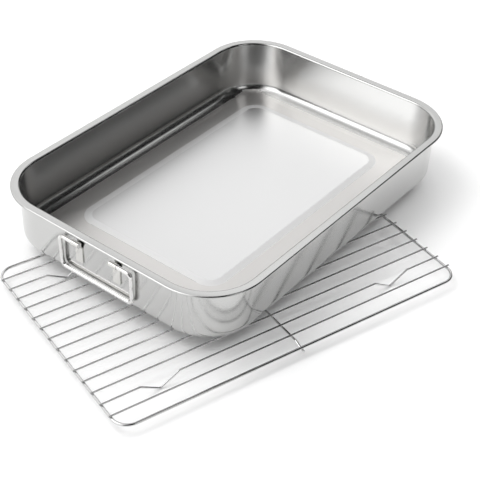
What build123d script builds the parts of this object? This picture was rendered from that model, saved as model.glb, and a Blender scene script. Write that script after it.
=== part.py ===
from build123d import *
import os
from math import atan2, cos, radians, sin

# Roasting pan standing on its wire rack, both of stainless steel, in millimetres.
# The pan lies along X. The rack under it is turned about Z, as the two lie when they are set down.

# Driving dimensions of the pan, measured over the outside
pan_length = 340.0
pan_width = 240.0
pan_height = 50.5
sheet = 0.6
rim_width = 7.0
rim_corner_radius = 50.0
rim_lip = 1.3
rim_inner_bend = 1.4
rim_outer_bend = 0.6
wall_lean = 0.4
bottom_bend = 8.5

# Floor of the pan: a foot ring, a shallow crown and a raised panel with a sloped border
floor_joint = 2.0
foot_ring = 6.0
crown_rise = 2.0
panel_from_near = 37.7
panel_from_far = 14.5
panel_from_front = 30.2
panel_from_back = 14.2
panel_corner_radius = 17.0
panel_border = 6.0
panel_rise = 0.8

# Handles: a round rod bail in two folded straps at each end of the pan
rod = 3.6
bail_spacing = 73.2
bail_drop = 29.5
bail_bend = 4.2
bail_stub = 21.4
bail_rest_tilt = 2.2
hinge_below_rim = 11.5
hinge_off_wall = 3.5
handle_shift = 3.0
hinge_clearance = 0.06
strap_sheet = 0.5
strap_width = 7.4
strap_off_leg = 13.4
strap_neck = 4.5
strap_tab = 15.0
strap_bend = 1.5
seat_gap = 0.02

# Rack, measured over its frame
rack_length = 311.5
rack_width = 200.5
rack_corner_radius = 14.0
frame_wire = 2.5
grid_wire = 1.6
cross_wire = 2.0
grid_count = 14
grid_margin = 13.5
grid_overhang = 0.8
weld_bite = 0.08
cross_overhang = 1.5
cross_dip = 7.0
cross_level = 1.5
cross_bend = 3.0

# Feet of the rack: V bends in the second wire from each side
foot_from_end = 48.75
foot_half = 16.45
foot_drop = 9.6
foot_bend = 2.5
foot_row = 2

# How the pan stands on the rack
rack_turn = -17.6
rack_shift_x = -79.3
rack_shift_y = -58.0
rest_gap = 0.3

# Heights above the table, worked out from the feet
foot_slope = atan2(foot_drop, foot_half)
foot_reach = foot_drop - foot_bend * (1 / cos(foot_slope) - 1)
grid_z = foot_reach + grid_wire / 2
frame_z = grid_z - (grid_wire + frame_wire) / 2 + weld_bite
cross_z = grid_z - (grid_wire + cross_wire) / 2 + weld_bite
cross_end_z = frame_z - (frame_wire + cross_wire) / 2 + weld_bite
pan_z = grid_z + grid_wire / 2 + rest_gap
rim_z = pan_z + pan_height

# Outline of the wall's outer face at the rim
wall_length = pan_length - 2 * rim_width
wall_width = pan_width - 2 * rim_width
wall_corner_radius = rim_corner_radius - rim_width


def lean_at(height):
    """How far the wall's outer face has come in at this height above the pan's base."""
    return wall_lean * (1 - height / (pan_height - sheet))


# The rack's own directions
rack_x_dir = Vector(cos(radians(rack_turn)), sin(radians(rack_turn)), 0)
rack_y_dir = Vector(-sin(radians(rack_turn)), cos(radians(rack_turn)), 0)
rack_centre = Vector(rack_shift_x, rack_shift_y, 0)


def along_wire(y):
    """Upright plane through a long wire, with the wire's run as x and height as y."""
    return Plane(origin=rack_centre + rack_y_dir * y, x_dir=rack_x_dir, z_dir=-rack_y_dir)


def across_wires(x):
    """Upright plane across the long wires, with the rack's width as x and height as y."""
    return Plane(origin=rack_centre + rack_x_dir * x, x_dir=rack_y_dir, z_dir=rack_x_dir)


pieces = []

# Pan: pressed sheet, one section swept round half the wall and mirrored, closed by the floor
inset = wall_lean + bottom_bend + floor_joint
floor_length = wall_length - 2 * inset
floor_width = wall_width - 2 * inset
floor_corner_radius = wall_corner_radius - inset
crown_length = floor_length - 2 * foot_ring
crown_width = floor_width - 2 * foot_ring
crown_corner_radius = floor_corner_radius - foot_ring
panel_length = crown_length - panel_from_near - panel_from_far
panel_width = crown_width - panel_from_front - panel_from_back
panel_x = (panel_from_near - panel_from_far) / 2
panel_y = (panel_from_front - panel_from_back) / 2

with BuildPart() as roasting_pan:
    with BuildLine(Plane.XY.offset(pan_z)) as wall_path:
        FilletPolyline(
            (wall_length / 2, 0),
            (wall_length / 2, wall_width / 2),
            (-wall_length / 2, wall_width / 2),
            (-wall_length / 2, 0),
            radius=wall_corner_radius,
        )
    section_plane = Plane(origin=(wall_length / 2, 0, pan_z), x_dir=(1, 0, 0), z_dir=(0, -1, 0))
    with BuildSketch(section_plane) as wall_section:
        with BuildLine():
            outer_face = FilletPolyline(
                (-inset, 0),
                (-wall_lean, 0),
                (0, pan_height - sheet),
                (rim_width - sheet, pan_height - sheet),
                (rim_width - sheet, pan_height - rim_lip),
                radius=[bottom_bend, rim_inner_bend, rim_outer_bend],
            )
            offset(outer_face, amount=sheet, side=Side.LEFT)
        make_face()
    sweep(path=wall_path.line)
    mirror(about=Plane.XZ)
    with BuildSketch(Plane.XY.offset(pan_z)):
        RectangleRounded(floor_length, floor_width, floor_corner_radius)
    extrude(amount=sheet)
    # The crown and the raised panel keep the sheet's thickness: added above, cut away below
    for base_z, mode in ((pan_z + sheet, Mode.ADD), (pan_z, Mode.SUBTRACT)):
        with BuildSketch(Plane.XY.offset(base_z)) as crown_foot:
            RectangleRounded(crown_length, crown_width, crown_corner_radius)
        with BuildSketch(Plane.XY.offset(base_z + crown_rise)) as panel_foot:
            with Locations((panel_x, panel_y)):
                RectangleRounded(panel_length, panel_width, panel_corner_radius)
        loft(sections=[crown_foot.sketch, panel_foot.sketch], ruled=True, mode=mode)
        with BuildSketch(Plane.XY.offset(base_z + crown_rise + panel_rise)) as panel_top:
            with Locations((panel_x, panel_y)):
                RectangleRounded(
                    panel_length - 2 * panel_border,
                    panel_width - 2 * panel_border,
                    panel_corner_radius - panel_border,
                )
        loft(sections=[panel_foot.sketch, panel_top.sketch], ruled=True, mode=mode)
roasting_pan.part.label = "roasting_pan"
pieces.append(roasting_pan)

# Straps: each is folded round the bail's stub and welded flat on the wall under the rim
hinge_z = rim_z - hinge_below_rim
hinge_x = wall_length / 2 + hinge_off_wall
strap_radius = rod / 2 + hinge_clearance + strap_sheet
strap_y = bail_spacing / 2 - strap_off_leg - strap_width / 2
tab_sheet = 2 * strap_sheet


def strap_face(height):
    """X of the middle of the doubled tab at this height above the table."""
    return wall_length / 2 - lean_at(height - pan_z) + seat_gap + tab_sheet / 2


neck_z = hinge_z - strap_neck
tab_z = neck_z - strap_tab
for end_name, side in (("near", -1), ("far", 1)):
    for hand_name, hand in (("left", 1), ("right", -1)):
        middle = Plane(
            origin=(0, handle_shift + hand * strap_y, 0), x_dir=(side, 0, 0), z_dir=(0, -side, 0)
        )
        with BuildPart() as strap:
            with BuildSketch(middle):
                with BuildLine():
                    FilletPolyline(
                        (hinge_x, hinge_z),
                        (strap_face(neck_z), neck_z),
                        (strap_face(tab_z), tab_z),
                        radius=strap_bend,
                    )
                trace(line_width=tab_sheet)
                with Locations((hinge_x, hinge_z)):
                    Circle(strap_radius)
                    Circle(rod / 2 + hinge_clearance, mode=Mode.SUBTRACT)
            extrude(amount=strap_width / 2, both=True)
        strap.part.label = f"handle_strap_{end_name}_{hand_name}"
        pieces.append(strap)

# Bails: one bent rod each, held by its two stubs and leaning a little towards the wall
bail_half = bail_spacing / 2
stub_end = bail_half - bail_stub
for end_name, side in (("near", -1), ("far", 1)):
    leaning = Plane(
        origin=(side * hinge_x, handle_shift, hinge_z),
        x_dir=(0, 1, 0),
        z_dir=(cos(radians(bail_rest_tilt)), 0, -side * sin(radians(bail_rest_tilt))),
    )
    with BuildPart() as bail:
        with BuildLine(leaning) as bail_path:
            FilletPolyline(
                (stub_end, 0),
                (bail_half, 0),
                (bail_half, -bail_drop),
                (-bail_half, -bail_drop),
                (-bail_half, 0),
                (-stub_end, 0),
                radius=bail_bend,
            )
        with BuildSketch(bail_path.line ^ 0):
            Circle(rod / 2)
        sweep(path=bail_path.line)
    bail.part.label = f"handle_{end_name}"
    pieces.append(bail)

# Rack frame: one closed loop of heavier wire
frame_length = rack_length - frame_wire
frame_width = rack_width - frame_wire
with BuildPart() as rack_frame:
    with BuildLine(
        Plane(origin=rack_centre + Vector(0, 0, frame_z), x_dir=rack_x_dir, z_dir=(0, 0, 1))
    ) as frame_path:
        FilletPolyline(
            (-frame_length / 2, -frame_width / 2),
            (frame_length / 2, -frame_width / 2),
            (frame_length / 2, frame_width / 2),
            (-frame_length / 2, frame_width / 2),
            radius=rack_corner_radius - frame_wire / 2,
            close=True,
        )
    with BuildSketch(frame_path.line ^ 0):
        Circle(frame_wire / 2)
    sweep(path=frame_path.line)
rack_frame.part.label = "rack_frame"
pieces.append(rack_frame)

# Long wires on top of the frame; the second from each side is bent down into two feet
wire_reach = rack_length / 2 + grid_overhang
grid_pitch = (frame_width - 2 * grid_margin) / (grid_count - 1)
foot_tip = rack_length / 2 - foot_from_end
foot_outer = foot_tip + foot_half
foot_inner = foot_tip - foot_half
foot_points = [
    (foot_outer, grid_z),
    (foot_tip, grid_z - foot_drop),
    (foot_inner, grid_z),
]
for number in range(1, grid_count + 1):
    wire_y = ((grid_count + 1) / 2 - number) * grid_pitch
    with BuildPart() as grid:
        with BuildLine(along_wire(wire_y)) as run:
            if number in (foot_row, grid_count + 1 - foot_row):
                FilletPolyline(
                    (wire_reach, grid_z),
                    *foot_points,
                    *[(-x, z) for x, z in reversed(foot_points)],
                    (-wire_reach, grid_z),
                    radius=foot_bend,
                )
            else:
                Line((wire_reach, grid_z), (-wire_reach, grid_z))
        with BuildSketch(run.line ^ 0):
            Circle(grid_wire / 2)
        sweep(path=run.line)
    grid.part.label = f"rack_wire_{number:02d}"
    pieces.append(grid)

# Cross wire under the long wires; its ends dip and are welded under the frame
cross_reach = rack_width / 2 + cross_overhang
level_end = frame_width / 2 - cross_level
dip_start = level_end - cross_dip
with BuildPart() as rack_cross_wire:
    with BuildLine(across_wires(0)) as cross_path:
        FilletPolyline(
            (cross_reach, cross_end_z),
            (level_end, cross_end_z),
            (dip_start, cross_z),
            (-dip_start, cross_z),
            (-level_end, cross_end_z),
            (-cross_reach, cross_end_z),
            radius=cross_bend,
        )
    with BuildSketch(cross_path.line ^ 0):
        Circle(cross_wire / 2)
    sweep(path=cross_path.line)
rack_cross_wire.part.label = "rack_cross_wire"
pieces.append(rack_cross_wire)

# The origin is on the table, in the middle of the whole footprint
footprint = Compound([piece.part for piece in pieces]).bounding_box()
to_origin = Location((-footprint.center().X, -footprint.center().Y, 0))
print("pan centre", -footprint.center().X, -footprint.center().Y)
print("overall", footprint.size, "lowest", footprint.min.Z)

os.makedirs("parts", exist_ok=True)
for piece in pieces:
    piece.part.move(to_origin)
    export_step(piece.part, f"parts/{piece.part.label}.step")
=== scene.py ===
from math import atan2, cos, pi, radians, sin, sqrt, tan

import bmesh
import bpy
from bpy.props import FloatProperty, FloatVectorProperty, IntProperty, PointerProperty
from mathutils import Matrix, Vector


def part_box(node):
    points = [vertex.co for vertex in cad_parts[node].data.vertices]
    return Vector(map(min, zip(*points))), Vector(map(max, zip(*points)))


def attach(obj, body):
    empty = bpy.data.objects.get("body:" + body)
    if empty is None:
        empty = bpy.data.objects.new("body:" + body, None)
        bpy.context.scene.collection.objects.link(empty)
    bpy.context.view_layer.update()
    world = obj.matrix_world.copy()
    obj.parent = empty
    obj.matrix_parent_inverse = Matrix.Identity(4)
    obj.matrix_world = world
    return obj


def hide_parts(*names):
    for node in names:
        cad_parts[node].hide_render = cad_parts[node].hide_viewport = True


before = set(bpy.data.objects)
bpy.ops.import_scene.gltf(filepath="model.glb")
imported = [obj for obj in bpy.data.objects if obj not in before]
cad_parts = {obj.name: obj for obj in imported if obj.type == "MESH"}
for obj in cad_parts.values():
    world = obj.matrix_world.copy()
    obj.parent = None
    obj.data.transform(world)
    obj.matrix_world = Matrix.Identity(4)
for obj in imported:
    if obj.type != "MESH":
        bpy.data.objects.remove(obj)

bl_info = {
    "name": "Roasting Pan with Rack",
    "version": (1, 0, 0),
    "blender": (4, 5, 0),
    "location": "View3D > Sidebar > Roasting Pan",
    "description": "Builds a sheet-steel roasting pan with swinging handles on its wire rack",
    "category": "Add Mesh",
}

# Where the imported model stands
PAN_LOW, PAN_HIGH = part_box("roasting_pan")
PAN_MIDDLE = (PAN_LOW + PAN_HIGH) / 2
PAN_SIZE = PAN_HIGH - PAN_LOW
ENDS = (("near", -1), ("far", 1))
HANDS = ("left", "right")

# Fits too fine to be settings, in metres
SAME_POINT = 1e-7
LOOP_CLOSED = 1e-5
WELD_GAP = 0.00002
LAYER_GAP = 0.00001
FLOOR_UNDER_FEET = 0.0002

# A face is level when its normal is as upright as this. Where a strap's faces meet at more than
# this angle, the edge between them was cut
LEVEL = 0.9999
CUT_EDGE = radians(50)

# Facets in the bends of a strap
SMALL_BEND_STEPS = 4
SLEEVE_STEPS = 24

# The pan's finishes, in the order of its material slots. The floor, panel and border ones
# have colours lighter than the sheet's own: painted light on the up-facing faces
DRAWN, ROLLED, SATIN, BORDER, BURNISHED = range(5)

FLOOR_SIZE = 8
# Cards that only the metal sees: direction from the pan in degrees, size in metres, strength.
# Their light fades between these two shares of their size, counted from the middle
CARD_DISTANCE = 1.4
CARD_FADE = (0.2, 0.5)
CARDS = (
    ("side_card", -98, 33, 0.9, 1.4),
    ("end_softbox", 156, 38, 2.1, 2.5),
    ("overhead_softbox", 60, 64, 1.2, 0.6),
    ("foot_card", -8, 50, 0.6, 1.0),
)
# Soft lamps, the strongest over the back of the pan, which give the floor its shadow: direction
# in degrees, size in metres, power in watts
LAMP_DISTANCE = 1.5
LAMPS = (
    ("left_lamp", 125, 60, 0.9, 7.4),
    ("right_lamp", 5, 60, 0.9, 1.5),
    ("end_lamp", -25, 45, 0.8, 4.6),
    ("front_lamp", -80, 62, 0.9, 2.5),
    ("camera_lamp", -140, 62, 0.9, 2.5),
)
# Way to the room's bright back, how wide the change to its dark front is, and how steep a way is
# fully overhead
ROOM_BACK = (-0.28, 0.96, 0)
ROOM_FADE = 0.12
ROOM_OVERHEAD = 0.7


def linear(code):
    """Turn an sRGB hex colour into the linear colour that shaders take."""
    channels = [int(code[i:i + 2], 16) / 255 for i in (1, 3, 5)]
    return [c / 12.92 if c <= 0.04045 else ((c + 0.055) / 1.055) ** 2.4 for c in channels]


def length(name, millimetres, description):
    """A length that a user may change, in metres."""
    return FloatProperty(
        name=name, description=description, default=millimetres / 1000, unit="LENGTH",
        precision=5,
    )


def turned_by(name, degrees, description):
    """An angle that a user may change."""
    return FloatProperty(
        name=name, description=description, default=radians(degrees), subtype="ANGLE",
        unit="ROTATION",
    )


def amount(name, default, description):
    """A plain number that a user may change."""
    return FloatProperty(name=name, description=description, default=default)


def colour(name, code, description):
    """A colour that a user may change."""
    return FloatVectorProperty(
        name=name, description=description, default=linear(code), subtype="COLOR", size=3,
        min=0, max=1,
    )


class PanSettings(bpy.types.PropertyGroup):
    """Sizes and colours of the pan's pressed sheet"""

    sheet: length("Sheet", 0.6, "Thickness of the pan's sheet")
    rim_width: length("Rim width", 7.0, "Width of the flat rim outside the wall")
    rim_corner: length("Rim corner", 50.0, "Radius of the rim's corners in plan")
    rim_lip: length("Rim lip", 1.3, "Height of the rim's turned-down edge")
    rim_inner_bend: length("Rim bend", 2.0, "Bend from wall to rim, on its upper face")
    rim_outer_bend: length("Lip bend", 1.2, "Bend from rim to lip, on its upper face")
    wall_lean: length("Wall lean", 0.4, "How far the wall comes in from rim to floor")
    bottom_bend: length("Bottom bend", 8.5, "Outer radius between wall and floor")
    floor_joint: length("Floor joint", 2.0, "Flat strip between bend and foot ring")
    foot_ring: length("Foot ring", 6.0, "Flat ring that the pan stands on")
    crown_rise: length("Crown rise", 2.0, "How far the floor climbs to the panel")
    panel_length: length("Panel length", 240.0, "Length of the raised panel")
    panel_width: length("Panel width", 147.8, "Width of the raised panel")
    panel_corner: length("Panel corner", 17.0, "Radius of the panel's corners")
    panel_x: length("Panel X", 11.6, "How far the panel lies from the middle, along the pan")
    panel_y: length("Panel Y", 8.0, "How far the panel lies from the middle, across the pan")
    panel_border: length("Panel border", 6.0, "Width of the panel's sloped border")
    panel_rise: length("Panel rise", 0.8, "Height of the panel's sloped border")
    crease: length("Crease", 0.3, "Width of the soft bend along the floor's pressed lines")
    corner_steps: IntProperty(
        name="Corner steps", description="Facets in a corner", default=28, min=8
    )
    tint: colour("Sheet colour", "#CACAC9", "Colour of the bare stainless sheet")
    # The floor's colour is lighter than the sheet's own: painted light on the up-facing floor
    floor_tint: colour("Floor colour", "#F0EEEC", "Colour of the mill-rolled floor")
    # Pure white, brighter than any steel: painted light on the panel's border
    border_painted_light_tint: colour("Border colour", "#FFFFFF", "Colour of the panel's border")
    # The panel's colour is lighter than the sheet's own: painted light on the raised panel
    panel_painted_light_tint: colour("Panel colour", "#EEEEEE", "Colour of the blasted panel")


class HandleSettings(bpy.types.PropertyGroup):
    """Sizes and colours of the two bails and their four straps"""

    rod: length("Rod", 3.6, "Diameter of the bail's rod")
    spacing: length("Spacing", 73.2, "Distance between the bail's two legs")
    drop: length("Drop", 29.5, "Height of the bail from stub to bar")
    bend: length("Bend", 4.2, "Bend radius of the rod's middle line")
    stub: length("Stub", 21.4, "Length of each inward stub from the leg")
    rod_end: length("Rod end", 0.3, "Edge taken off the rod's ends")
    rest_tilt: turned_by("Rest tilt", 2.2, "How far a hanging bail leans to the wall")
    below_rim: length("Below rim", 11.5, "Height from hinge to rim")
    off_wall: length("Off wall", 3.5, "Distance from hinge to the wall's outer face")
    shift: length("Shift", 3.0, "How far both handles sit off the pan's middle")
    clearance: length("Clearance", 0.06, "Room between stub and strap")
    strap_sheet: length("Strap sheet", 0.5, "Thickness of a strap's strip")
    strap_width: length("Strap width", 7.4, "Width of a strap")
    strap_neck: length("Strap neck", 4.5, "Height of the strap's slope from hinge to wall")
    strap_tab: length("Strap tab", 15.0, "Height of the welded tab")
    strap_bend: length("Strap bend", 1.5, "Bend radius where the tab meets the slope")
    strap_flare: length("Strap flare", 0.7, "Bend radius where the two layers open round the stub")
    strap_edge: length("Strap edge", 0.1, "Edge taken off the strip by rumbling")
    rod_tint: colour("Rod colour", "#ECEBEA", "Colour of the polished rod")
    strap_tint: colour("Strap colour", "#E0DFDC", "Colour of the strap's strip")


class RackSettings(bpy.types.PropertyGroup):
    """Sizes and colour of the wire rack"""

    length_over: length("Length", 311.5, "Length over the frame")
    width_over: length("Width", 200.5, "Width over the frame")
    corner: length("Corner", 14.0, "Outer radius of the frame's corners")
    frame_wire: length("Frame wire", 2.5, "Diameter of the frame's wire")
    grid_wire: length("Grid wire", 1.6, "Diameter of the long wires")
    cross_wire: length("Cross wire", 2.0, "Diameter of the cross wire")
    wire_end: length("Wire end", 0.2, "Edge taken off the wires' ends")
    grid_margin: length("Grid margin", 13.5, "From the frame's middle line to the first wire")
    overhang: length("Overhang", 0.8, "How far a long wire stands past the frame")
    weld_bite: length("Weld bite", 0.08, "How far welded wires sink into each other")
    cross_overhang: length("Cross overhang", 1.5, "How far the cross wire stands past the frame")
    cross_dip: length("Cross dip", 7.0, "Length of the slope at the cross wire's ends")
    cross_level: length("Cross level", 1.5, "Level end inside the frame's middle line")
    cross_bend: length("Cross bend", 3.0, "Bend radius of the cross wire")
    foot_from_end: length("Foot from end", 48.75, "From the rack's end to a foot's tip")
    foot_half: length("Foot half", 16.45, "Half the length of a V foot")
    foot_drop: length("Foot drop", 9.6, "Depth of a V foot before its tip is rounded")
    foot_bend: length("Foot bend", 2.5, "Bend radius of the feet")
    wires: IntProperty(
        name="Long wires", description="Number of long wires", default=14, min=4
    )
    foot_row: IntProperty(
        name="Foot row", description="Which wire from the side has feet", default=2
    )
    turn: turned_by("Turn", -17.6, "How far the rack is turned from the pan")
    shift_x: length("Shift X", -79.3, "From the pan's middle to the rack's, along the pan")
    shift_y: length("Shift Y", -58.0, "From the pan's middle to the rack's, across the pan")
    tint: colour("Wire colour", "#D8D8D8", "Colour of the plated wire")


class StageSettings(bpy.types.PropertyGroup):
    """Floor, lights and camera"""

    lens: amount("Lens", 89.977, "Focal length in millimetres")
    camera_place: FloatVectorProperty(
        name="Camera place", description="From the middle of the rim to the camera",
        default=(-0.65886, -0.50370, 0.56048), subtype="TRANSLATION", unit="LENGTH",
    )
    camera_turn: FloatVectorProperty(
        name="Camera turn", description="Rotation of the camera",
        default=(radians(51.6180), radians(-1.8449), radians(-51.5910)), subtype="EULER",
        unit="ROTATION",
    )
    back_low: amount("Back, low", 0.5, "Light of the room's back at table height")
    back_high: amount("Back, high", 1.3, "Light of the room's back overhead")
    front: amount("Front", 0.015, "Light of the room's unlit front")
    floor_glow: amount("Floor glow", 0.06, "Glow that lifts the floor to white by the pan")
    far_glow: amount("Far glow", 0.5, "Glow of the floor past the lamps' reach")
    glow_from: length("Glow from", 350, "Where the floor's glow begins to grow")
    glow_to: length("Glow to", 1600, "Where the floor's glow is full")
    floor_tint: colour("Floor colour", "#F9F9F9", "Colour of the pale floor")


# Shapes


def finish_piece(name, mesh, body, node, material):
    """Turn a bmesh into a finished piece that rides a body and stands for a CAD node."""
    data = bpy.data.meshes.new(name)
    mesh.to_mesh(data)
    mesh.free()
    data.shade_smooth()
    data.materials.append(material)
    piece = bpy.data.objects.new(name, data)
    bpy.context.scene.collection.objects.link(piece)
    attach(piece, body)
    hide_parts(node)
    return piece


def rounded_plate(mesh, size_x, size_y, radius, steps, middle):
    """Add a flat plate with four round corners and return its face."""
    place = Matrix.Translation(middle) @ Matrix.Diagonal((size_x, size_y, 1, 1))
    made = bmesh.ops.create_grid(mesh, x_segments=1, y_segments=1, size=0.5, matrix=place)
    round_off = bmesh.ops.bevel(
        mesh, geom=made["verts"], offset=radius, segments=steps, profile=0.5,
        affect="VERTICES", material=-1,
    )
    return max({f for v in round_off["verts"] for f in v.link_faces}, key=lambda f: len(f.verts))


def press(mesh, plate, section):
    """Inset a plate step by step and sink or raise what is inside, as a press draws a sheet."""
    for (out, height), (next_out, next_height) in zip(section, section[1:]):
        bmesh.ops.inset_region(
            mesh, faces=[plate], thickness=out - next_out, use_boundary=True,
            use_even_offset=True,
        )
        bmesh.ops.translate(mesh, verts=plate.verts, vec=(0, 0, next_height - height))


def arc(centre, radius, start, end, steps):
    """Points of a bend in a section, from one angle in degrees to another."""
    angles = [radians(start + (end - start) * i / steps) for i in range(steps + 1)]
    return [(centre[0] + radius * cos(a), centre[1] + radius * sin(a)) for a in angles]


def ring_of(mesh, radius, sides, place):
    """Add the open circle that a rod is drawn from, its edges always in the same order."""
    verts = bmesh.ops.create_circle(
        mesh, cap_ends=False, radius=radius, segments=sides, matrix=place
    )["verts"]
    return verts, [e for e in mesh.edges if e.verts[0] in verts]


def feed(mesh, section, step):
    """Push the section straight ahead and return the new one."""
    made = bmesh.ops.extrude_edge_only(mesh, edges=section[1])["geom"]
    verts = [g for g in made if isinstance(g, bmesh.types.BMVert)]
    edges = [
        g for g in made if isinstance(g, bmesh.types.BMEdge) and all(v in verts for v in g.verts)
    ]
    bmesh.ops.translate(mesh, verts=verts, vec=step)
    return verts, edges


def turn(mesh, section, centre, axis, angle, steps):
    """Swing the section round a bend and return the new one."""
    made = bmesh.ops.spin(
        mesh, geom=section[0] + section[1], cent=centre, axis=axis, angle=angle, steps=steps
    )["geom_last"]
    verts = [g for g in made if isinstance(g, bmesh.types.BMVert)]
    return verts, [g for g in made if isinstance(g, bmesh.types.BMEdge)]


def edge_point(section):
    """The middle of a section's points."""
    return sum((v.co for v in section[0]), Vector()) / len(section[0])


def bend_rod(mesh, corners, bend, radius, sides, steps):
    """Form a round rod through its corners: straight runs, and a true bend at each corner."""
    ahead = (corners[1] - corners[0]).normalized()
    place = Matrix.Translation(corners[0]) @ ahead.to_track_quat("Z", "Y").to_matrix().to_4x4()
    section = first = ring_of(mesh, radius, sides, place)
    used = 0
    for before, corner, after in zip(corners, corners[1:], corners[2:] + [None]):
        ahead = (corner - before).normalized()
        angle = ahead.angle(after - corner) if after else 0
        tangent = bend * tan(angle / 2)
        run = (corner - before).length - used - tangent
        # A short step each side of a bend keeps the straight run's shading straight
        short = min(radius / 2, run / 4)
        for part in (short, run - 2 * short, short):
            section = feed(mesh, section, ahead * part)
        if after:
            axis = ahead.cross(after - corner).normalized()
            centre = corner - ahead * tangent + axis.cross(ahead) * bend
            section = turn(mesh, section, centre, axis, angle, steps)
        used = tangent
    return first, section


def close_end(mesh, section, chamfer):
    """Cap a rod's open end and take the sharp edge off."""
    bmesh.ops.edgeloop_fill(mesh, edges=section[1])
    bmesh.ops.bevel(
        mesh, geom=section[1], offset=chamfer, segments=2, profile=0.5, affect="EDGES",
        material=-1,
    )


def rod_mesh(corners, bend, radius, chamfer, sides=16, steps=8):
    """A finished rod with two closed ends, its faces outwards."""
    mesh = bmesh.new()
    for section in bend_rod(mesh, corners, bend, radius, sides, steps):
        close_end(mesh, section, chamfer)
    bmesh.ops.recalc_face_normals(mesh, faces=mesh.faces)
    return mesh


# Finishes


def add(tree, kind, settings=(), values=(), links=()):
    """Add a node with its settings, its constant inputs and the links that feed it."""
    made = tree.nodes.new(kind)
    for name, value in dict(settings).items():
        setattr(made, name, value)
    for socket, value in dict(values).items():
        made.inputs[socket].default_value = value
    for socket, (source, output) in dict(links).items():
        tree.links.new(source.outputs[output], made.inputs[socket])
    return made


def new_tree(name):
    """A new material with an empty node tree."""
    material = bpy.data.materials.new(name)
    material.use_nodes = True
    material.node_tree.nodes.clear()
    return material, material.node_tree


def steel(name, tint, roughness, grain, depth, turned=0, stretch=0):
    """Bare steel with a fine grain.

    `grain` is the length, width and height of one mark in millimetres and `depth` its depth in
    micrometres. The grain is `turned` about Z. `stretch` is how far level grain draws
    reflections out across itself, up and down a wall.
    """
    material, tree = new_tree(name)
    place = add(tree, "ShaderNodeTexCoord")
    marks = add(
        tree, "ShaderNodeMapping", {"vector_type": "TEXTURE"},
        {
            "Location": PAN_MIDDLE, "Rotation": (0, 0, turned),
            "Scale": [side / 1000 for side in grain],
        },
        {"Vector": (place, "Object")},
    )
    noise = add(
        tree, "ShaderNodeTexNoise", values={"Scale": 1, "Detail": 2},
        links={"Vector": (marks, 0)},
    )
    # Each mark is up to a fifth smoother or rougher than the rest
    rough = add(
        tree, "ShaderNodeMapRange",
        values={"To Min": roughness * 0.8, "To Max": roughness * 1.2},
        links={"Value": (noise, "Fac")},
    )
    bump = add(
        tree, "ShaderNodeBump", values={"Strength": 1, "Distance": depth / 1e6},
        links={"Height": (noise, "Fac")},
    )
    # Across level grain is up the wall; the little Y gives a level face a direction too
    across = add(tree, "ShaderNodeCombineXYZ", values={"Y": 0.05, "Z": 1})
    shader = add(
        tree, "ShaderNodeBsdfPrincipled",
        values={"Base Color": (*tint, 1), "Metallic": 1, "Anisotropic": stretch},
        links={"Roughness": (rough, 0), "Normal": (bump, 0), "Tangent": (across, 0)},
    )
    add(tree, "ShaderNodeOutputMaterial", links={"Surface": (shader, 0)})
    return material


# Pan


def pan_section(pan):
    """The sheet's upper face from the lip in to the foot ring's inner edge.

    Each point is how far it lies outside the wall's outer face, and its height over the base.
    """
    height, lip, inner = PAN_SIZE.z, pan.rim_outer_bend, pan.rim_inner_bend
    bowl_foot = -pan.wall_lean - pan.bottom_bend
    floor_out = bowl_foot - pan.floor_joint
    return [
        (pan.rim_width, height - pan.rim_lip),
        *arc((pan.rim_width - lip, height - lip), lip, 2, 90, 6),
        *arc((inner - pan.sheet, height - inner), inner, 90, 180, 8),
        *arc((bowl_foot, pan.bottom_bend), pan.bottom_bend - pan.sheet, 0, -88, 12),
        (floor_out, pan.sheet),
        (floor_out - pan.foot_ring, pan.sheet),
    ]


def mark_finishes(mesh, pan, panel_middle, floor_out):
    """Give each face of the pressed sheet the slot of its finish.

    `floor_out` is where the floor's edge lies, counted outwards from the wall's outer face.
    """
    for face in mesh.faces:
        centre = face.calc_center_median()
        on_panel, on_pan = centre - panel_middle, centre - PAN_MIDDLE
        inside_rim = max(abs(on_pan.x) - PAN_SIZE.x / 2, abs(on_pan.y) - PAN_SIZE.y / 2)
        if abs(on_panel.x) < pan.panel_length / 2 and abs(on_panel.y) < pan.panel_width / 2:
            face.material_index = SATIN if face.normal.z > LEVEL else BORDER
        elif centre.z < panel_middle.z and inside_rim < floor_out - pan.rim_width:
            face.material_index = ROLLED


def pan_finishes(pan):
    """The pan's five finishes, in the order of its slots; the floor, panel and border carry
    painted light in their colours.
    """
    # Deep-drawn stainless, brushed level along the wall and round the rim after drawing: it
    # mirrors along the wall and draws reflections out up and down it. The real brush lines are
    # under 0.1 mm high and are drawn 0.6 mm high so that they show.
    drawn = steel("drawn_stainless_sheet", pan.tint, 0.2, (30, 30, 0.6), 0.2, stretch=0.85)
    # The floor keeps the mill's rolled grain along the pan: a soft, dull mirror. Its colour is
    # lighter than the sheet's own: painted light on the up-facing floor. The real grain is under
    # 0.1 mm wide and is drawn 0.4 mm wide so that it shows.
    rolled = steel("rolled_stainless_painted_light", pan.floor_tint, 0.48, (20, 0.4, 0.4), 0.5)
    # The panel is blasted with fine beads after pressing: a pale satin that mirrors nothing
    # sharply. Its colour, lighter than the sheet's own, is painted light. The real dents are
    # about 0.1 mm wide and are drawn 0.6 mm wide.
    satin = steel("bead_blasted_stainless_painted_light", pan.panel_painted_light_tint, 0.38, (0.6, 0.6, 0.6), 0.1)
    # The border is stretched thin by the press and goes matt, like fine orange peel: it mirrors
    # nothing and keeps one pale tone from any side. Its pure white colour, brighter than any
    # steel, is painted light. The real peel is about 0.1 mm wide and is drawn 0.4 mm wide.
    border = steel("stretched_border_painted_light", pan.border_painted_light_tint, 0.6, (20, 0.4, 0.4), 0.3)
    # The outer face is burnished by the die: a clear mirror that shows the rack's wires. The
    # die's lines are under 0.1 mm high and are drawn 0.6 mm high.
    burnished = steel("burnished_stainless_sheet", pan.tint, 0.15, (30, 30, 0.6), 0.1)
    return drawn, rolled, satin, border, burnished


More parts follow.
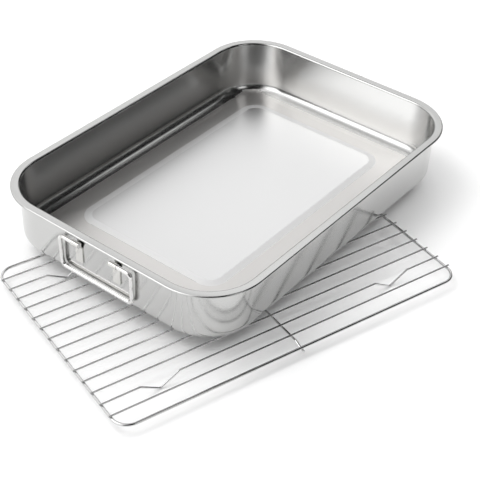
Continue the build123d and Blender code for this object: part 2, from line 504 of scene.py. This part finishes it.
class ROASTER_OT_pan(bpy.types.Operator):
    """Press the pan from one sheet: rim, walls, foot ring, crown and raised panel"""

    bl_idname = "roaster.pan"
    bl_label = "Press Pan"

    def execute(self, context):
        pan = context.scene.roaster_pan
        section = pan_section(pan)
        mesh = bmesh.new()
        lip_foot = Vector((PAN_MIDDLE.x, PAN_MIDDLE.y, PAN_LOW.z + section[0][1]))
        plate = rounded_plate(
            mesh, PAN_SIZE.x, PAN_SIZE.y, pan.rim_corner, pan.corner_steps, lip_foot
        )
        press(mesh, plate, section)
        # Inside the foot ring the sheet climbs to the panel, which lies off the middle
        crown_edges = list(plate.edges)
        bmesh.ops.delete(mesh, geom=[plate], context="FACES_ONLY")
        panel_middle = Vector((
            PAN_MIDDLE.x + pan.panel_x, PAN_MIDDLE.y + pan.panel_y,
            PAN_LOW.z + pan.sheet + pan.crown_rise,
        ))
        panel = rounded_plate(
            mesh, pan.panel_length, pan.panel_width, pan.panel_corner, pan.corner_steps,
            panel_middle,
        )
        border_edges = list(panel.edges)
        bmesh.ops.bridge_loops(mesh, edges=crown_edges + border_edges)
        press(mesh, panel, [(0, 0), (-pan.panel_border, pan.panel_rise)])
        bmesh.ops.bevel(
            mesh, geom=crown_edges + border_edges + list(panel.edges), offset=pan.crease,
            segments=3, profile=0.5, affect="EDGES", material=-1,
        )
        bmesh.ops.remove_doubles(mesh, verts=mesh.verts, dist=SAME_POINT)
        mark_finishes(mesh, pan, panel_middle, floor_out=section[-2][0])
        bmesh.ops.recalc_face_normals(mesh, faces=mesh.faces)
        if max(mesh.faces, key=lambda face: face.calc_area()).normal.z < 0:
            bmesh.ops.reverse_faces(mesh, faces=mesh.faces)

        finishes = pan_finishes(pan)
        piece = finish_piece("pan_pressed", mesh, "pan", "roasting_pan", finishes[0])
        for finish in finishes[1:]:
            piece.data.materials.append(finish)
        wall = piece.modifiers.new("Sheet thickness", "SOLIDIFY")
        wall.thickness = pan.sheet
        wall.offset = -1
        wall.use_even_offset = True
        # The outer side's slots count on from this one and stop at the last, which is this one
        wall.material_offset = BURNISHED
        piece.modifiers.new("Flat faces stay flat", "WEIGHTED_NORMAL")
        return {"FINISHED"}


# Handles


def wall_face(pan, side):
    """X of the wall's outer face at the rim, at one end of the pan."""
    return PAN_MIDDLE.x + side * (PAN_SIZE.x / 2 - pan.rim_width)


def hinge_point(pan, handle, side, y):
    """A point on the line that a bail swings about."""
    return Vector((
        wall_face(pan, side) + side * handle.off_wall, y, PAN_HIGH.z - handle.below_rim
    ))


def fold_strap(handle, hinge, tab, side):
    """Fold a strap along the middle of its strip, which gets its thickness later.

    It runs up the outer layer, out along the slope, round the stub and back down the wall.
    """
    half_sheet, flare = handle.strap_sheet / 2, handle.strap_flare
    inner_bend, outer_bend = handle.strap_bend - half_sheet, handle.strap_bend + half_sheet
    neck = Vector((tab, hinge.y, hinge.z - handle.strap_neck))
    foot = Vector((tab, hinge.y, neck.z - handle.strap_tab))
    out, axis = Vector((side, 0, 0)), Vector((0, side, 0))
    slope = (hinge - neck).normalized()
    normal = axis.cross(slope)
    lean = slope.angle(Vector((0, 0, 1)))
    tangent = handle.strap_bend * tan(lean / 2)
    # The layers open into the sleeve round the stub in two small flares
    loop = handle.rod / 2 + handle.clearance + half_sheet
    opening = sqrt((loop + flare) ** 2 - (half_sheet + flare) ** 2)
    spread = atan2(half_sheet + flare, opening)
    run = (hinge - neck).length - opening - tangent

    mesh = bmesh.new()
    start, half_width = foot + out * half_sheet, Vector((0, handle.strap_width / 2, 0))
    edge = [mesh.verts.new(start + half_width * sign) for sign in (-1, 1)]
    section = (edge, [mesh.edges.new(edge)])

    def curl(centre, way, angle, steps=SMALL_BEND_STEPS):
        return turn(mesh, section, centre, way, angle, steps)

    section = feed(mesh, section, Vector((0, 0, handle.strap_tab - tangent)))
    section = curl(edge_point(section) + out * inner_bend, axis, lean)
    section = feed(mesh, section, slope * run)
    section = curl(edge_point(section) + normal * flare, axis, pi / 2 - spread)
    section = curl(hinge, -axis, 2 * pi - 2 * spread, SLEEVE_STEPS)
    away = (edge_point(section) - hinge).normalized()
    section = curl(edge_point(section) + away * flare, axis, pi / 2 - spread)
    section = feed(mesh, section, -slope * run)
    section = curl(edge_point(section) + normal * outer_bend, -axis, lean)
    feed(mesh, section, Vector((0, 0, foot.z - edge_point(section).z)))
    bmesh.ops.recalc_face_normals(mesh, faces=mesh.faces)
    return mesh


class ROASTER_OT_straps(bpy.types.Operator):
    """Fold the four straps round the stubs and lay their tabs on the wall"""

    bl_idname = "roaster.straps"
    bl_label = "Fold Straps"

    def execute(self, context):
        pan, handle = context.scene.roaster_pan, context.scene.roaster_handle
        # Folded stainless strip, rumbled smooth with the grain upright: nearly as bright as the
        # wall behind it. The real grain is under 0.1 mm wide and is drawn 0.3 mm wide.
        material = steel("folded_stainless_strip", handle.strap_tint, 0.16, (0.3, 0.3, 10), 0.2)
        # Behind the tab the wall has come in by this share of its lean
        lean_at_tab = 0.4
        for end, side in ENDS:
            off_wall = handle.strap_sheet + WELD_GAP - pan.wall_lean * lean_at_tab
            tab = wall_face(pan, side) + side * off_wall
            for hand in HANDS:
                node = f"handle_strap_{end}_{hand}"
                low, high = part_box(node)
                hinge = hinge_point(pan, handle, side, (low.y + high.y) / 2)
                piece = finish_piece(
                    f"strap_{end}_{hand}", fold_strap(handle, hinge, tab, side), "pan", node,
                    material,
                )
                thickness = piece.modifiers.new("Strip thickness", "SOLIDIFY")
                thickness.thickness = handle.strap_sheet - LAYER_GAP
                thickness.offset = 0
                edges = piece.modifiers.new("Rumbled edges", "BEVEL")
                edges.width = handle.strap_edge
                edges.segments = 2
                edges.limit_method = "ANGLE"
                edges.angle_limit = CUT_EDGE
                piece.modifiers.new("Flat faces stay flat", "WEIGHTED_NORMAL")
        return {"FINISHED"}


class ROASTER_OT_handles(bpy.types.Operator):
    """Bend the two bails from round rod and hang them in their straps"""

    bl_idname = "roaster.handles"
    bl_label = "Bend Handles"

    def execute(self, context):
        pan, handle = context.scene.roaster_pan, context.scene.roaster_handle
        # Stainless rod, drawn through a die and polished: bright, with hair-fine lines. The real
        # lines are under 0.1 mm wide and are drawn 0.5 mm wide.
        material = steel("polished_stainless_rod", handle.rod_tint, 0.12, (0.5, 8, 0.5), 0.1)
        half, drop = handle.spacing / 2, handle.drop
        stub_end = half - handle.stub
        for end, side in ENDS:
            hinge = hinge_point(pan, handle, side, PAN_MIDDLE.y + handle.shift)
            down = Vector((-side * sin(handle.rest_tilt), 0, -cos(handle.rest_tilt)))
            corners = [
                hinge + Vector((0, y, 0)) + down * z
                for y, z in (
                    (stub_end, 0), (half, 0), (half, drop), (-half, drop), (-half, 0),
                    (-stub_end, 0),
                )
            ]
            mesh = rod_mesh(
                corners, handle.bend, handle.rod / 2, handle.rod_end, sides=24, steps=12
            )
            finish_piece(
                f"bail_{end}", mesh, f"{end}_bail", f"handle_{end}", material
            )
        return {"FINISHED"}


# Rack


def rack_place(rack):
    """From the rack's own middle on the table to where it lies."""
    middle = Vector((PAN_MIDDLE.x + rack.shift_x, PAN_MIDDLE.y + rack.shift_y, 0))
    return Matrix.Translation(middle) @ Matrix.Rotation(rack.turn, 4, "Z")


def rack_heights(rack):
    """Middle heights of the long wires, the frame, the cross wire and its ends."""
    slope = atan2(rack.foot_drop, rack.foot_half)
    grid = rack.foot_drop - rack.foot_bend * (1 / cos(slope) - 1) + rack.grid_wire / 2
    framed = grid - (rack.grid_wire + rack.frame_wire) / 2 + rack.weld_bite
    crossed = grid - (rack.grid_wire + rack.cross_wire) / 2 + rack.weld_bite
    return grid, framed, crossed, framed - (rack.frame_wire + rack.cross_wire) / 2 + rack.weld_bite


def rack_piece(name, mesh, node, rack):
    """Finish one of the rack's pieces in the plating that they all share."""
    # Bright plated wire: drawn steel under nickel and chrome, almost a mirror, with the faint
    # ripple that straightening leaves, one wave in about 4 mm
    plated = bpy.data.materials.get("bright_plated_wire") or steel(
        "bright_plated_wire", rack.tint, 0.04, (4, 0.8, 0.8), 2, rack.turn
    )
    finish_piece(name, mesh, "rack", node, plated)


class ROASTER_OT_rack_frame(bpy.types.Operator):
    """Bend the rack's frame, one closed loop of heavier wire"""

    bl_idname = "roaster.rack_frame"
    bl_label = "Bend Rack Frame"

    def execute(self, context):
        rack = context.scene.roaster_rack
        half_x = (rack.length_over - rack.frame_wire) / 2
        half_y = (rack.width_over - rack.frame_wire) / 2
        place, height = rack_place(rack), rack_heights(rack)[1]
        corners = [
            place @ Vector((x * half_x, y * half_y, height))
            for x, y in ((0, -1), (1, -1), (1, 1), (-1, 1), (-1, -1), (0, -1))
        ]
        radius = rack.frame_wire / 2
        mesh = bmesh.new()
        bend_rod(mesh, corners, rack.corner - radius, radius, sides=20, steps=12)
        bmesh.ops.remove_doubles(mesh, verts=mesh.verts, dist=LOOP_CLOSED)
        bmesh.ops.recalc_face_normals(mesh, faces=mesh.faces)
        rack_piece("frame_loop", mesh, "rack_frame", rack)
        return {"FINISHED"}


class ROASTER_OT_rack_wires(bpy.types.Operator):
    """Lay the long wires on the frame, the second from each side bent down into feet"""

    bl_idname = "roaster.rack_wires"
    bl_label = "Lay Long Wires"

    def execute(self, context):
        rack = context.scene.roaster_rack
        reach = rack.length_over / 2 + rack.overhang
        pitch = (rack.width_over - rack.frame_wire - 2 * rack.grid_margin) / (rack.wires - 1)
        tip = rack.length_over / 2 - rack.foot_from_end
        place, height = rack_place(rack), rack_heights(rack)[0]
        foot = [
            (tip + rack.foot_half, height), (tip, height - rack.foot_drop),
            (tip - rack.foot_half, height),
        ]
        for number in range(1, rack.wires + 1):
            run = [(reach, height), (-reach, height)]
            if number in (rack.foot_row, rack.wires + 1 - rack.foot_row):
                run[1:1] = foot + [(-x, z) for x, z in reversed(foot)]
            y = ((rack.wires + 1) / 2 - number) * pitch
            corners = [place @ Vector((x, y, z)) for x, z in run]
            mesh = rod_mesh(corners, rack.foot_bend, rack.grid_wire / 2, rack.wire_end)
            rack_piece(f"long_wire_{number:02d}", mesh, f"rack_wire_{number:02d}", rack)
        return {"FINISHED"}


class ROASTER_OT_cross_wire(bpy.types.Operator):
    """Bend the cross wire that holds the long wires from below"""

    bl_idname = "roaster.cross_wire"
    bl_label = "Bend Cross Wire"

    def execute(self, context):
        rack = context.scene.roaster_rack
        height, end_height = rack_heights(rack)[2:]
        reach = rack.width_over / 2 + rack.cross_overhang
        level = (rack.width_over - rack.frame_wire) / 2 - rack.cross_level
        half = [(reach, end_height), (level, end_height), (level - rack.cross_dip, height)]
        place = rack_place(rack)
        corners = [
            place @ Vector((0, y, z)) for y, z in half + [(-y, z) for y, z in reversed(half)]
        ]
        mesh = rod_mesh(corners, rack.cross_bend, rack.cross_wire / 2, rack.wire_end)
        rack_piece("cross_wire", mesh, "rack_cross_wire", rack)
        return {"FINISHED"}


# Stage


def around_pan(azimuth, elevation, distance):
    """A point round the pan, by its direction from the rim's middle in degrees."""
    across = distance * cos(radians(elevation))
    return Vector((
        PAN_MIDDLE.x + across * cos(radians(azimuth)),
        PAN_MIDDLE.y + across * sin(radians(azimuth)),
        PAN_HIGH.z + distance * sin(radians(elevation)),
    ))


def flat_sheet(name, size, place, material):
    """A square sheet of the stage."""
    mesh = bmesh.new()
    bmesh.ops.create_grid(mesh, x_segments=1, y_segments=1, size=size / 2, matrix=place)
    data = bpy.data.meshes.new(name)
    mesh.to_mesh(data)
    mesh.free()
    data.materials.append(material)
    sheet = bpy.data.objects.new(name, data)
    bpy.context.scene.collection.objects.link(sheet)
    return sheet


def paper_floor(stage):
    """Matt white paper: it keeps the shadow, and what sees it directly sees it lifted to white."""
    material, tree = new_tree("white_paper_sweep")
    paper = add(tree, "ShaderNodeBsdfDiffuse", values={"Color": (*stage.floor_tint, 1)})
    path = add(tree, "ShaderNodeLightPath")
    seen = add(
        tree, "ShaderNodeMath", {"operation": "MAXIMUM"},
        links={0: (path, "Is Camera Ray"), 1: (path, "Is Glossy Ray")},
    )
    place = add(tree, "ShaderNodeTexCoord")
    away = add(
        tree, "ShaderNodeVectorMath", {"operation": "LENGTH"}, links={0: (place, "Object")}
    )
    # Past the lamps' reach the paper is lifted more, so that it stays white from every side
    reach = add(
        tree, "ShaderNodeMapRange", {"interpolation_type": "SMOOTHSTEP"},
        {
            "From Min": stage.glow_from, "From Max": stage.glow_to,
            "To Min": stage.floor_glow, "To Max": stage.far_glow,
        },
        {"Value": (away, "Value")},
    )
    lifted = add(
        tree, "ShaderNodeMath", {"operation": "MULTIPLY"}, links={0: (seen, 0), 1: (reach, 0)}
    )
    glow = add(tree, "ShaderNodeEmission", links={"Strength": (lifted, 0)})
    both = add(tree, "ShaderNodeAddShader", links={0: (paper, 0), 1: (glow, 0)})
    add(tree, "ShaderNodeOutputMaterial", links={"Surface": (both, 0)})
    flat_sheet("studio_floor", FLOOR_SIZE, Matrix.Translation((0, 0, -FLOOR_UNDER_FEET)), material)


def studio_room(stage):
    """A white room behind the pan, brighter overhead, and an unlit one on its front side."""
    world = bpy.data.worlds.new("studio")
    world.use_nodes = True
    tree = world.node_tree
    tree.nodes.clear()
    place = add(tree, "ShaderNodeTexCoord")
    ways = add(tree, "ShaderNodeSeparateXYZ", links={0: (place, "Generated")})
    side = add(
        tree, "ShaderNodeVectorMath", {"operation": "DOT_PRODUCT"}, {1: ROOM_BACK},
        {0: (place, "Generated")},
    )
    fade = add(
        tree, "ShaderNodeMapRange", {"interpolation_type": "SMOOTHSTEP"},
        {"From Min": -ROOM_FADE, "From Max": ROOM_FADE}, {"Value": (side, "Value")},
    )
    back = add(
        tree, "ShaderNodeMapRange",
        values={"From Max": ROOM_OVERHEAD, "To Min": stage.back_low, "To Max": stage.back_high},
        links={"Value": (ways, "Z")},
    )
    light = add(
        tree, "ShaderNodeMix", {"data_type": "FLOAT"}, {"A": stage.front},
        {"Factor": (fade, 0), "B": (back, 0)},
    )
    # Seen directly, past the floor's edge, the room is plain white
    path = add(tree, "ShaderNodeLightPath")
    shown = add(
        tree, "ShaderNodeMix", {"data_type": "FLOAT"}, {"B": 1.0},
        {"Factor": (path, "Is Camera Ray"), "A": (light, 0)},
    )
    room = add(
        tree, "ShaderNodeBackground", values={"Color": (1, 1, 1, 1)},
        links={"Strength": (shown, 0)},
    )
    add(tree, "ShaderNodeOutputWorld", links={"Surface": (room, 0)})
    bpy.context.scene.world = world


def studio_card(name, azimuth, elevation, size, strength):
    """A flat card that faces the pan, fades to its edge, and that only reflections see."""
    centre = around_pan(azimuth, elevation, CARD_DISTANCE)
    # Diffusing cloth with its lamp behind the middle: it only shows as a soft tone in the metal
    material, tree = new_tree(f"{name}_cloth")
    place = add(tree, "ShaderNodeTexCoord")
    away = add(
        tree, "ShaderNodeVectorMath", {"operation": "DISTANCE"}, {1: centre},
        {0: (place, "Object")},
    )
    light = add(
        tree, "ShaderNodeMapRange", {"interpolation_type": "SMOOTHSTEP"},
        {
            "From Min": size * CARD_FADE[0], "From Max": size * CARD_FADE[1],
            "To Min": strength, "To Max": 0,
        },
        {"Value": (away, "Value")},
    )
    glow = add(tree, "ShaderNodeEmission", links={"Strength": (light, 0)})
    clear = add(tree, "ShaderNodeBsdfTransparent")
    through = add(
        tree, "ShaderNodeMath", {"operation": "DIVIDE", "use_clamp": True}, {1: strength},
        {0: (light, 0)},
    )
    both = add(
        tree, "ShaderNodeMixShader", links={0: (through, 0), 1: (clear, 0), 2: (glow, 0)}
    )
    add(tree, "ShaderNodeOutputMaterial", links={"Surface": (both, 0)})
    aim = (PAN_MIDDLE - centre).to_track_quat("Z", "Y").to_matrix().to_4x4()
    card = flat_sheet(name, size, Matrix.Translation(centre) @ aim, material)
    card.visible_camera = card.visible_diffuse = card.visible_shadow = False


def studio_lamp(name, azimuth, elevation, size, watts):
    """A soft square lamp that faces the pan and that no reflection shows."""
    lamp = bpy.data.lights.new(name, "AREA")
    lamp.shape = "RECTANGLE"
    lamp.size = lamp.size_y = size
    lamp.energy = watts
    lit = bpy.data.objects.new(name, lamp)
    lit.location = around_pan(azimuth, elevation, LAMP_DISTANCE)
    lit.rotation_euler = (PAN_MIDDLE - lit.location).to_track_quat("-Z", "Y").to_euler()
    lit.visible_glossy = False
    bpy.context.scene.collection.objects.link(lit)


def product_camera(stage):
    """The camera at the photograph's viewing angle."""
    lens = bpy.data.cameras.new("product_camera")
    lens.lens = stage.lens
    lens.sensor_width = 36
    camera = bpy.data.objects.new("product_camera", lens)
    camera.location = around_pan(0, 0, 0) + Vector(stage.camera_place)
    camera.rotation_euler = stage.camera_turn
    bpy.context.scene.collection.objects.link(camera)
    bpy.context.scene.camera = camera


class ROASTER_OT_stage(bpy.types.Operator):
    """Set the pale floor, the soft studio light and the camera"""

    bl_idname = "roaster.stage"
    bl_label = "Set Stage"

    def execute(self, context):
        stage = context.scene.roaster_stage
        paper_floor(stage)
        studio_room(stage)
        for card in CARDS:
            studio_card(*card)
        for lamp in LAMPS:
            studio_lamp(*lamp)
        product_camera(stage)
        context.scene.view_settings.view_transform = "Standard"
        return {"FINISHED"}


class ROASTER_PT_panel(bpy.types.Panel):
    """Sidebar panel with the pieces in the order they are made"""

    bl_idname = "ROASTER_PT_panel"
    bl_label = "Roasting Pan"
    bl_space_type = "VIEW_3D"
    bl_region_type = "UI"
    bl_category = "Roasting Pan"

    def draw(self, context):
        for operator in OPERATORS:
            self.layout.operator(operator.bl_idname)
        for group in GROUPS:
            settings = getattr(context.scene, group)
            column = self.layout.column(align=True)
            for name in settings.__annotations__:
                column.prop(settings, name)


GROUPS = {
    "roaster_pan": PanSettings,
    "roaster_handle": HandleSettings,
    "roaster_rack": RackSettings,
    "roaster_stage": StageSettings,
}
OPERATORS = (
    ROASTER_OT_stage,
    ROASTER_OT_pan,
    ROASTER_OT_straps,
    ROASTER_OT_handles,
    ROASTER_OT_rack_frame,
    ROASTER_OT_rack_wires,
    ROASTER_OT_cross_wire,
)


def register():
    """Register the settings, the operators and the panel."""
    for name, group in GROUPS.items():
        bpy.utils.register_class(group)
        setattr(bpy.types.Scene, name, PointerProperty(type=group))
    for item in (*OPERATORS, ROASTER_PT_panel):
        bpy.utils.register_class(item)


def unregister():
    """Remove everything that register() added."""
    for item in (ROASTER_PT_panel, *reversed(OPERATORS)):
        bpy.utils.unregister_class(item)
    for name, group in GROUPS.items():
        delattr(bpy.types.Scene, name)
        bpy.utils.unregister_class(group)


def main():
    """Build the whole scene."""
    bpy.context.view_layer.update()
    register()
    bpy.ops.roaster.stage()
    bpy.ops.roaster.pan()
    bpy.ops.roaster.straps()
    bpy.ops.roaster.handles()
    bpy.ops.roaster.rack_frame()
    bpy.ops.roaster.rack_wires()
    bpy.ops.roaster.cross_wire()


if __name__ == "__main__":
    main()
